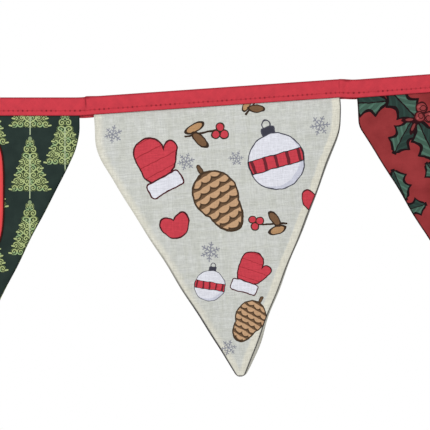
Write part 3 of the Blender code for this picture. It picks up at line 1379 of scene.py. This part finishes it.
class Bauble(Motif):
    """A round white ornament with a striped band, a dark cap and a ring."""

    outline = "4B4B57"

    def draw(self) -> None:
        """Draws the ornament."""
        ball = self.oval((0, 0), (20, 20))
        band = self.graph.add("SUBTRACT", self.graph.add("ABSOLUTE", self.y), 5.2)
        ring = self.graph.add("ABSOLUTE", self.oval((0, 27), (3.0, 3.0)))
        self.fill(ring, self.outline, 0.5)
        self.outlined(self.box((0, 21.8), (4.6, 3.2), 1.0), "41414C", 0.8)
        self.outlined(ball, self.white, 0.8)
        shade = self.both(ball, self.graph.add("MULTIPLY", self.oval((-3, 3), (20, 20)), -1.0))
        self.fill(shade, "CDCFDD", -0.4)
        sash = self.both(ball, band)
        self.fill(sash, "33262A", -0.1)
        self.fill(sash, self.red, -0.8)
        self.fill(self.both(sash, self.stripes(self.x, 8.4, 0.46)), "6E2B33", -0.8)


class Mitten(Motif):
    """A red mitten with a white cuff, its fingers up."""

    outline = "4E1F24"

    def draw(self) -> None:
        """Draws the mitten."""
        hand = self.either(self.box((0, 1), (8, 12), 7.5), self.bar((6, -5), (11.5, 3), 3.4))
        self.outlined(hand, self.red, 0.8)
        self.fill(self.both(hand, self.stripes(self.y, 6.0, 0.2)), "A03038", -0.4)
        cuff = self.box((0, -13), (9.4, 4.0), 1.8)
        self.outlined(cuff, self.white, 0.8)
        self.fill(self.both(cuff, self.stripes(self.x, 2.6, 0.22)), "A9ABB9", -0.4)


class Heart(Motif):
    """A plain red heart."""

    outline = "4E1F24"

    def draw(self) -> None:
        """Draws the heart from two ovals that lean together."""
        left = self.oval((-3.4, 0.6), (5.6, 8.6), 32)
        right = self.oval((3.4, 0.6), (5.6, 8.6), -32)
        self.outlined(self.either(left, right), self.red, 0.8)


class BerryTwig(Motif):
    """A brown twig with two leaves and three red berries."""

    outline = "3D2F26"

    def draw(self) -> None:
        """Draws the twig."""
        self.fill(self.bar((-10, -4), (7, 3), 0.55), self.outline)
        self.outlined(self.oval((-6, 1.6), (5.2, 2.3), 38), "B89068", 0.7)
        self.outlined(self.oval((-2, -4.2), (5.2, 2.3), -34), "7A5C43", 0.7)
        for centre in ((7.5, 4.6), (10.4, 1.0), (6.0, 0.2)):
            self.outlined(self.oval(centre, (2.3, 2.3)), self.red, 0.7)


class SnowCrystal(Motif):
    """A fine six-armed snow crystal in grey line."""

    def draw(self) -> None:
        """Draws one folded arm, which the fold repeats all round."""
        add = self.graph.add
        angle = add("PINGPONG", add("ADD", add("ARCTAN2", self.y, self.x), math.tau), math.pi / 6)
        radius = add("VectorMath", self.place, operation="LENGTH", out="Value")
        along = add("MULTIPLY", radius, add("COSINE", angle))
        beside = add("MULTIPLY", radius, add("SINE", angle))
        whole = self.place
        self.place = add("CombineXYZ", along, beside)
        arm = self.bar((0, 0), (6.6, 0), 0.38)
        for start, reach in ((2.4, 1.5), (4.4, 1.4)):
            arm = self.either(arm, self.bar((start, 0), (start + reach * 0.6, reach), 0.34))
        self.place = whole
        self.fill(arm, "8C8E99")


@dataclass(frozen=True)
class Printed:
    """One motif's place in a print: right and up from the middle of the tape's edge."""

    motif: type[Motif]
    right: float
    up: float
    turn_deg: float = 0.0
    size: float = 1.0


@dataclass(frozen=True)
class MotifPrint:
    """Motifs printed over a dyed ground, on their own or in a half-drop repeat.

    Attributes:
        ground: paints the cloth under them.
        layout: the motifs in the order in which they're printed.
        repeat: the width and height of a repeat.
        waver: how far the drawn lines waver.
        waver_rate: how often they do in a millimetre.
    """

    ground: Painter
    layout: tuple[Printed, ...]
    repeat: Pair | None = None
    waver: float = 2.0
    waver_rate: float = 0.16

    def paint(self, graph: Graph, flat: Socket) -> Socket:
        """Draws the ground and the motifs, whose lines waver like drawn ones.

        Args:
            graph: the material's nodes.
            flat: the place on the flat cloth.

        Returns:
            The colour.
        """
        colour = self.ground(graph, flat)
        cloud = {"Vector": flat, "Scale": self.waver_rate, "Detail": 2.0}
        noise = graph.add("TexNoise", at=cloud, out="Color")
        centred = graph.add("VectorMath", noise, (0.5, 0.5, 0.5), operation="SUBTRACT")
        shift = graph.add("VectorMath", centred, (self.waver, self.waver, 0), operation="MULTIPLY")
        drawn = graph.add("VectorMath", flat, shift, operation="ADD")
        trees = {}
        for kind in sorted({printed.motif for printed in self.layout}, key=lambda kind: kind.__name__):
            trees[kind] = kind(kind.__name__).graph.tree
        for printed in self.layout:
            place = graph.add("VectorMath", drawn, (printed.right, printed.up, 0), operation="SUBTRACT")
            if self.repeat:
                place = self.repeated(graph, place, *self.repeat)
            turn = {"Rotation": (0, 0, math.radians(printed.turn_deg)), "Scale": (printed.size,) * 3}
            turned = graph.add("Mapping", place, at=turn, vector_type="TEXTURE")
            inks = {"Place": turned, "Under": colour}
            colour = graph.add("Group", at=inks, out="Painted", node_tree=trees[printed.motif])
        return colour

    def repeated(self, graph: Graph, place: Socket, width: float, height: float) -> Socket:
        """Brings a place back into one repeat. Each column of repeats drops by half a height.

        Args:
            graph: the material's nodes.
            place: the place on the print.
            width: the width of a repeat.
            height: its height.

        Returns:
            The place in the repeat.
        """
        x = graph.add("SeparateXYZ", place)
        y = x.node.outputs[1]
        column = graph.add("ROUND", graph.add("DIVIDE", x, width))
        dropped = graph.add("MULTIPLY_ADD", column, -height / 2, y)
        near_x = graph.add("MULTIPLY_ADD", column, -width, x)
        near_y = graph.add("WRAP", dropped, height / 2, -height / 2)
        return graph.add("CombineXYZ", near_x, near_y)


@dataclass(frozen=True)
class TreePrint:
    """Pairs of columns of scroll trees on dark green, each column standing at its own height."""

    ground: Dye = Dye("25302D", "2A3632")
    column_pitch: float = 23.6
    pair_pitch: float = 52.5
    tree_pitch: float = 43.1
    first_right: float = 51.2
    first_up: float = -13.1
    column_rise: float = 18.1
    pair_rise: float = 29.6
    below_foot: float = 0.4

    def paint(self, graph: Graph, flat: Socket) -> Socket:
        """Draws the ground, then the two columns of each pair, whose trees reach past each other.

        Args:
            graph: the material's nodes.
            flat: the place on the flat cloth.

        Returns:
            The colour.
        """
        colour = self.ground.paint(graph, flat)
        tree = ScrollTree("ScrollTree").graph.tree
        x = graph.add("SeparateXYZ", flat)
        y = x.node.outputs[1]
        for column in (0, 1):
            from_first = graph.add("SUBTRACT", x, self.first_right + column * self.column_pitch)
            pair = graph.add("ROUND", graph.add("DIVIDE", from_first, self.pair_pitch))
            column_up = self.first_up + column * self.column_rise
            foot = graph.add("MULTIPLY_ADD", pair, self.pair_rise, column_up)
            near_x = graph.add("MULTIPLY_ADD", pair, -self.pair_pitch, from_first)
            from_foot = graph.add("SUBTRACT", y, foot)
            near_y = graph.add("WRAP", from_foot, self.tree_pitch - self.below_foot, -self.below_foot)
            inks = {"Place": graph.add("CombineXYZ", near_x, near_y), "Under": colour}
            colour = graph.add("Group", at=inks, out="Painted", node_tree=tree)
        return colour


@dataclass(frozen=True)
class CreamGround:
    """Cream cloth with streaks along its threads, paler where the seam allowances lie behind it.

    Attributes:
        dark, pale: the colours of its streaks.
        streak_rates: how often they change in a millimetre, along and across.
        band: the colour over a seam allowance.
        band_full: how far in it has its full strength, at the left and at the right.
        band_strength: that strength, at the left and at the right.
        band_end: how far in it ends.
        band_ragged: how far the streaks fray its end.
    """

    dark: str = "C8CAC3"
    pale: str = "D0D2CE"
    streak_rates: Pair = (0.024, 0.24)
    band: str = "E6E2D1"
    band_full: Pair = (3.4, 5.6)
    band_strength: Pair = (0.6, 0.7)
    band_end: float = 6.8
    band_ragged: float = 1.6

    def paint(self, graph: Graph, flat: Socket) -> Socket:
        """Colours the cloth.

        Args:
            graph: the material's nodes.
            flat: the place on the flat cloth.

        Returns:
            The colour.
        """
        streaks = []
        for rates in (self.streak_rates, self.streak_rates[::-1]):
            place = graph.add("VectorMath", flat, (*rates, 0), operation="MULTIPLY")
            streaks.append(graph.add("TexNoise", at={"Vector": place, "Scale": 1.0, "Detail": 2.0}))
        share = graph.add("MapRange", graph.add("ADD", *streaks), 0.8, 1.2, 0.0, 1.0)
        tints = {UNDER: linear(self.dark), OVER: linear(self.pale)}
        colour = graph.add("Mix", share, at=tints, out=MIXED, data_type="RGBA")
        edge = graph.add("Attribute", attribute_name="edge", out="Fac")
        ragged = graph.add("MULTIPLY_ADD", streaks[0], self.band_ragged, edge)
        x = graph.add("SeparateXYZ", flat)
        full_to = graph.add("MapRange", x, *SEAM_TURN, *self.band_full)
        strength = graph.add("MapRange", x, *SEAM_TURN, *self.band_strength)
        band = graph.add("MapRange", ragged, full_to, self.band_end, strength, 0.0)
        tints = {UNDER: colour, OVER: linear(self.band)}
        return graph.add("Mix", band, at=tints, out=MIXED, data_type="RGBA")


HOLLY_PRINT = MotifPrint(
    ground=Dye("7C2B2D", "943739", 18.0).paint,
    repeat=(86.0, 94.0),
    layout=(
        Printed(HollyLeaf, -76.0, -3.6, 178.0, 0.88),
        Printed(HollyLeaf, -51.7, -6.2, -50.0, 0.92),
        Printed(HollyLeaf, -53.4, -28.6, 58.0, 0.78),
        Printed(HollyLeaf, -36.8, -33.0, 112.0, 0.92),
        Printed(HollyLeaf, -58.0, -60.5, -70.0, 0.68),
        Printed(HollyLeaf, -50.0, -77.5, 196.0, 0.6),
        Printed(HollyLeaf, -32.5, -55.5, 128.0, 0.64),
        Printed(HollyLeaf, -16.0, -12.0, 24.0, 0.95),
        Printed(Sepal, -48.0, -17.4, 2.0),
        Printed(Sepal, -45.6, -22.6, 64.0),
        Printed(HollyBerry, -39.2, -9.6, 20.0),
        Printed(HollyBerry, -34.6, -16.4, -60.0),
        Printed(HollyBerry, -40.8, -15.9, 80.0, 0.95),
    ),
)

WINTER_PRINT = MotifPrint(
    ground=CreamGround().paint,
    layout=(
        Printed(Mitten, -46.0, -35.0, 24.0, 1.3),
        Printed(BerryTwig, -10.0, -17.5, -14.0, 1.25),
        Printed(Bauble, 37.0, -40.0, 12.0, 0.95),
        Printed(PineCone, -4.0, -63.0, 28.0, 1.2),
        Printed(Heart, -34.0, -80.0, 14.0, 1.0),
        Printed(BerryTwig, 29.0, -82.0, 156.0, 1.1),
        Printed(Mitten, 14.0, -112.0, -22.0, 0.95),
        Printed(Bauble, -14.0, -121.0, -14.0, 0.52),
        Printed(PineCone, 11.0, -146.0, -34.0, 0.8),
        Printed(Heart, 60.0, -69.0, -18.0, 0.85),
        Printed(BerryTwig, 26.0, 1.0, 24.0, 1.0),
        Printed(SnowCrystal, -24.0, -36.0, 10.0, 0.9),
        Printed(SnowCrystal, 68.0, -18.0, 5.0, 1.0),
        Printed(SnowCrystal, -72.0, -14.0, 18.0, 0.9),
        Printed(SnowCrystal, -12.0, -98.0, 20.0, 1.0),
        Printed(SnowCrystal, 10.0, -36.0, 0.0, 0.75),
        Printed(SnowCrystal, -4.0, -164.0, 8.0, 0.8),
    ),
)


@dataclass(frozen=True)
class SeamInk:
    """Painted shade: a dark line along the seam at a panel's edge, and on the rim that shows past it.

    Attributes:
        under: paints the cloth.
        ink: the colour of the painted shade, on the line and on the rim.
        width: its width in millimetres.
        share: how much the painted shade darkens the cloth at the seam.
        full_from: how far down and right the line comes to its full strength.
        faint: its strength at the top left, as a share.
        right_narrowing: how many times narrower it is on the right.
        rim_depths, rim_shades: between which depths the painted shade on the rim changes, and from what to
            what.
    """

    under: Painter
    ink: str
    width: float = 0.65
    share: float = 0.7
    full_from: float = 0.0
    faint: float = 1.0
    right_narrowing: float = 1.0
    rim_depths: Pair = (85.0, 125.0)
    rim_shades: Pair = (0.65, 0.3)

    def paint(self, graph: Graph, flat: Socket) -> Socket:
        """Lays the painted seam shade and rim shade over the cloth's colour.

        Args:
            graph: the material's nodes.
            flat: the place on the flat cloth.

        Returns:
            The colour.
        """
        colour = self.under(graph, flat)
        edge = graph.add("Attribute", attribute_name="edge", out="Fac")
        x = graph.add("SeparateXYZ", flat)
        # A painted shade line along the seam, narrower on the right.
        narrowing = graph.add("MapRange", x, *SEAM_TURN, 1.0, self.right_narrowing)
        inward = graph.add("MULTIPLY", edge, narrowing)
        line = graph.add("MapRange", inward, self.width / 2, self.width, self.share, 0.0)
        line = graph.add("MULTIPLY", line, graph.add("GREATER_THAN", edge, -0.05))
        down = graph.add("MULTIPLY", x.node.outputs[1], -1.0)
        # The painted seam shade is faint at the top left and full lower down and to the right.
        if self.full_from:
            down_right = graph.add("MULTIPLY_ADD", x, 1.2, down)
            strength = graph.add("MapRange", down_right, 0.0, self.full_from, self.faint, 1.0)
            line = graph.add("MULTIPLY", line, strength)
        # Painted shade on the back panel's rim past the seam, lighter lower down.
        rim_share = graph.add("MapRange", down, *self.rim_depths, *self.rim_shades)
        rim = graph.add("MULTIPLY", rim_share, graph.add("MapRange", edge, -0.4, -0.1, 1.0, 0.0))
        tints = {UNDER: colour, OVER: linear(self.ink)}
        return graph.add("Mix", graph.add("MAXIMUM", line, rim), at=tints, out=MIXED, data_type="RGBA")


@dataclass(frozen=True)
class TapeRed:
    """The tape's red, with painted shade along the fold, at the lower edges, in the needle holes and in the
    creases.

    Attributes:
        tape: the tape that it's for.
        ground: its dye.
        dark: the colour of its painted shade.
        fold_band, fold_shade: where the painted shade along the fold fades, and its strength.
        edge_band, edge_shade: how far above a lower edge its painted shade starts and ends, and its
            strength.
        hole_band: how far from its middle the painted shade of a needle hole fades.
        hole_drift_rate: how often the strength of that painted shade changes in a millimetre.
        crease_band: how far from its middle the painted shade of a crease fades.
        crease_depths: between which depths it ends.
        crease_shade: its strength for each millimetre that the lap stands out.
    """

    tape: BindingTape
    ground: Dye = Dye("B93A45", "C43D48", 5.0)
    dark: str = "7A2029"
    fold_band: Pair = (0.8, 2.2)
    fold_shade: float = 0.8
    edge_band: Pair = (0.7, 0.2)
    edge_shade: float = 0.6
    hole_band: Pair = (0.4, 0.95)
    hole_drift_rate: float = 0.11
    crease_band: Pair = (0.2, 0.9)
    crease_depths: Pair = (5.0, 8.5)
    crease_shade: float = 1.6

    def paint(self, graph: Graph, flat: Socket) -> Socket:
        """Colours the tape.

        Args:
            graph: the material's nodes.
            flat: the place on the flat tape.

        Returns:
            The colour.
        """
        tape = self.tape
        colour = self.ground.paint(graph, flat)
        x = graph.add("SeparateXYZ", flat)
        down = graph.add("ABSOLUTE", x.node.outputs[1])
        # Painted shade along the top fold, where the tape turns over.
        fold = graph.add("MapRange", down, *self.fold_band, self.fold_shade, 0.0)
        # Painted shade along each wall's lower edge, where the folded edge turns under.
        edge_start, edge_end = (tape.drop - above for above in self.edge_band)
        lower_edge_shade = graph.add("MapRange", down, edge_start, edge_end, 0.0, self.edge_shade)
        # Painted shade in the needle holes, stronger in some places than in others.
        hole_x = graph.add("WRAP", x, tape.stitch_pitch / 2, -tape.stitch_pitch / 2)
        hole_y = graph.add("SUBTRACT", down, tape.drop - tape.stitch_height)
        from_hole = graph.add("CombineXYZ", hole_x, hole_y)
        from_hole = graph.add("VectorMath", from_hole, operation="LENGTH", out="Value")
        cloud = graph.add("TexNoise", at={"Vector": flat, "Scale": self.hole_drift_rate, "Detail": 1.0})
        strength = graph.add("MapRange", cloud, 0.35, 0.6, 0.2, 1.0)
        hole_shade = graph.add("MapRange", from_hole, *self.hole_band, 1.0, 0.0)
        hole_shade = graph.add("MULTIPLY", hole_shade, strength)
        # Painted shade: the fold, the lower edges, the needle holes and the creases darken the red.
        dark = graph.add("MAXIMUM", graph.add("MAXIMUM", fold, lower_edge_shade), hole_shade)
        # Painted shade down the upper part of each crease, stronger where the lap stands out more.
        upper = graph.add("MapRange", down, *self.crease_depths, 1.0, 0.0)
        for place, height in tape.creases:
            beside = graph.add("ABSOLUTE", graph.add("SUBTRACT", x, place - tape.crease_width / 2))
            shade = min(1.0, height * self.crease_shade)
            line = graph.add("MapRange", beside, *self.crease_band, shade, 0.0)
            dark = graph.add("MAXIMUM", dark, graph.add("MULTIPLY", line, upper))
        tints = {UNDER: colour, OVER: linear(self.dark)}
        return graph.add("Mix", dark, at=tints, out=MIXED, data_type="RGBA")


@dataclass
class Studio:
    """A plain pale floor, soft light from all round and a camera straight in front, in metres."""

    view_centre: Vector = field(default_factory=lambda: Vector((-1.0, -1.5, -86.2)) * MM)
    view_width: float = 290.5 * MM
    lens: float = 85.0
    sensor: float = 36.0
    floor_height: float = -0.55
    floor_radius: float = 1.0
    surround: float = 0.8
    key_power: float = 6.6
    key_size: float = 0.5
    key_place: Triple = (-0.35, -1.05, 0.45)
    key_aim: Triple = (0.0, 0.0, -0.08)

    def build(self) -> None:
        """Builds the camera, the lights and the floor."""
        self.add_camera()
        self.add_light()
        self.add_floor()
        bpy.context.scene.view_settings.view_transform = "Standard"

    def add_camera(self) -> None:
        """Adds the camera, as far in front as its lens needs for the view's width."""
        lens = bpy.data.cameras.new("Camera")
        lens.lens = self.lens
        lens.sensor_width = self.sensor
        camera = add_object("Camera", lens)
        distance = self.view_width * self.lens / self.sensor
        camera.location = self.view_centre - Vector((0.0, distance, 0.0))
        camera.rotation_euler = (math.radians(90), 0.0, 0.0)
        bpy.context.scene.camera = camera

    def add_light(self) -> None:
        """Adds a white surround, softer on the cloth than in the camera, and a large key light."""
        world = bpy.data.worlds.new("Studio")
        world.use_nodes = True
        bpy.context.scene.world = world
        graph = Graph(world.node_tree)
        seen = graph.add("LightPath", out="Is Camera Ray")
        strength = graph.add("MULTIPLY_ADD", seen, 1.0 - self.surround, self.surround)
        background = world.node_tree.nodes["Background"]
        background.inputs["Color"].default_value = linear("FFFFFF")
        world.node_tree.links.new(strength, background.inputs["Strength"])
        lamp = bpy.data.lights.new("Key", "AREA")
        lamp.size = self.key_size
        lamp.energy = self.key_power
        key = add_object("Key", lamp)
        key.location = self.key_place
        key.rotation_euler = (Vector(self.key_aim) - key.location).to_track_quat("-Z", "Y").to_euler()

    def add_floor(self) -> None:
        """Adds the floor, below the camera's view."""
        disc = bmesh.new()
        bmesh.ops.create_circle(disc, cap_ends=True, segments=96, radius=self.floor_radius)
        bmesh.ops.translate(disc, verts=disc.verts, vec=(0, 0, self.floor_height))
        mesh = bpy.data.meshes.new("floor")
        disc.to_mesh(mesh)
        disc.free()
        floor = add_object("floor", mesh)
        # Felted white cloth is matt and even, so nothing but its pale tone shows.
        backdrop = WovenFinish("white backdrop cloth", thread=3.0)
        mesh.materials.append(backdrop.material(Dye("F2F2F0", "EFEFED", 200.0).paint))
        floor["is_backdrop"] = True


def main() -> None:
    """Builds the bunting piece by piece, then the studio."""
    logging.basicConfig(level=logging.INFO, format="%(relativeCreated)6d ms %(message)s")
    tape = BindingTape()
    # Bias tape is plain cotton cut on the slant: matt, with fine threads that cross at 45 degrees.
    tape_finish = WovenFinish("red bias tape", thread=0.7, bias_deg=45.0, slub_depth=0.02)
    # Its red carries painted shade along the fold, the lower edges, the needle holes and the creases.
    tape.build(tape_finish.material(TapeRed(tape).paint))
    # Sewing thread is spun tight, so it's smoother than cloth and takes a little more light.
    thread_finish = WovenFinish("red sewing thread", thread=0.4, weave_depth=0.02, roughness=0.75)
    tape.sew(thread_finish.material(Dye("B4343F", "AF303B").paint))
    # Printed quilting cotton is flat and matt: its ink sinks in, and only the even weave shows.
    green_finish = WovenFinish("green printed cotton")
    # Its seams get a painted shade line, and its back panel's rim a painted shade.
    green_cloth = green_finish.material(SeamInk(TreePrint().paint, "16201D").paint)
    # Slub cotton has thick and thin places in its yarn, which show as short streaks both ways.
    cream_finish = WovenFinish(
        "cream slub cotton",
        thread=0.9,
        weave_depth=0.015,
        slub_depth=0.14,
        thread_contrast=0.26,
        upright_slubs=0.75,
        slub_length=7.0,
    )
    # Its seams get a painted shade line, faint at the top left, and its back panel's rim a painted shade.
    cream_seam_shade = SeamInk(
        WINTER_PRINT.paint, "2B2A30", width=1.6, share=0.95, full_from=110.0, faint=0.1, right_narrowing=1.7
    )
    cream_cloth = cream_finish.material(cream_seam_shade.paint)
    # This is the same even cotton, printed dark, which hides most of its weave.
    red_finish = WovenFinish("dark red printed cotton")
    # Its seams get a painted shade line, and its back panel's rim a painted shade.
    red_seam_shade = SeamInk(HOLLY_PRINT.paint, "1D100F", width=0.95, share=0.9)
    red_cloth = red_finish.material(red_seam_shade.paint)
    green = Pennant(
        name="green",
        slot="green_cotton",
        left_shoulder=18.2,
        right_shoulder=18.2,
        apex_depth=184.5,
        apex_right=0.0,
        back_show=0.9,
        swing=-4.0,
        roll=2.2,
        ripple=1.5,
        pitch=95.0,
        phase=0.4,
    )
    cream = Pennant(
        name="cream",
        slot="cream_cotton",
        left_shoulder=27.1,
        right_shoulder=15.0,
        apex_depth=189.3,
        apex_right=3.0,
        back_show=2.0,
        swing=3.0,
        roll=2.4,
        ripple=1.3,
        pitch=85.0,
        phase=1.7,
        left_trim=-1.0,
        right_bow=1.3,
        tip_radius=4.1,
    )
    red = Pennant(
        name="red",
        slot="dark_red_cotton",
        left_shoulder=19.1,
        right_shoulder=20.0,
        apex_depth=182.5,
        apex_right=3.5,
        back_show=0.4,
        swing=-2.5,
        roll=2.0,
        ripple=1.8,
        pitch=105.0,
        phase=2.9,
        left_trim=1.0,
        shoulder_radius=16.0,
    )
    for pennant, cloth in ((green, green_cloth), (cream, cream_cloth), (red, red_cloth)):
        for side in Side:
            pennant.build_panel(side, cloth)
    # The patch is plain dyed cotton, as matt as the pennant under it.
    patch_cloth = WovenFinish("red patch cotton").material(Dye("D94A4C", "D34648").paint)
    # Satin stitch lies in close straight threads, which gives the border a soft sheen.
    border_finish = WovenFinish("dark satin stitch", thread=0.4, weave_depth=0.02, roughness=0.6)
    RedPatch(green).build(patch_cloth, border_finish.material(Dye("4A1916", "40160F").paint))
    Studio().build()
    bpy.context.view_layer.update()
    boxes = {"cad": CAD_BOX, "visual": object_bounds()}
    {name: [list(corner) for corner in box] for name, box in boxes.items()}


if __name__ == "__main__":
    main()
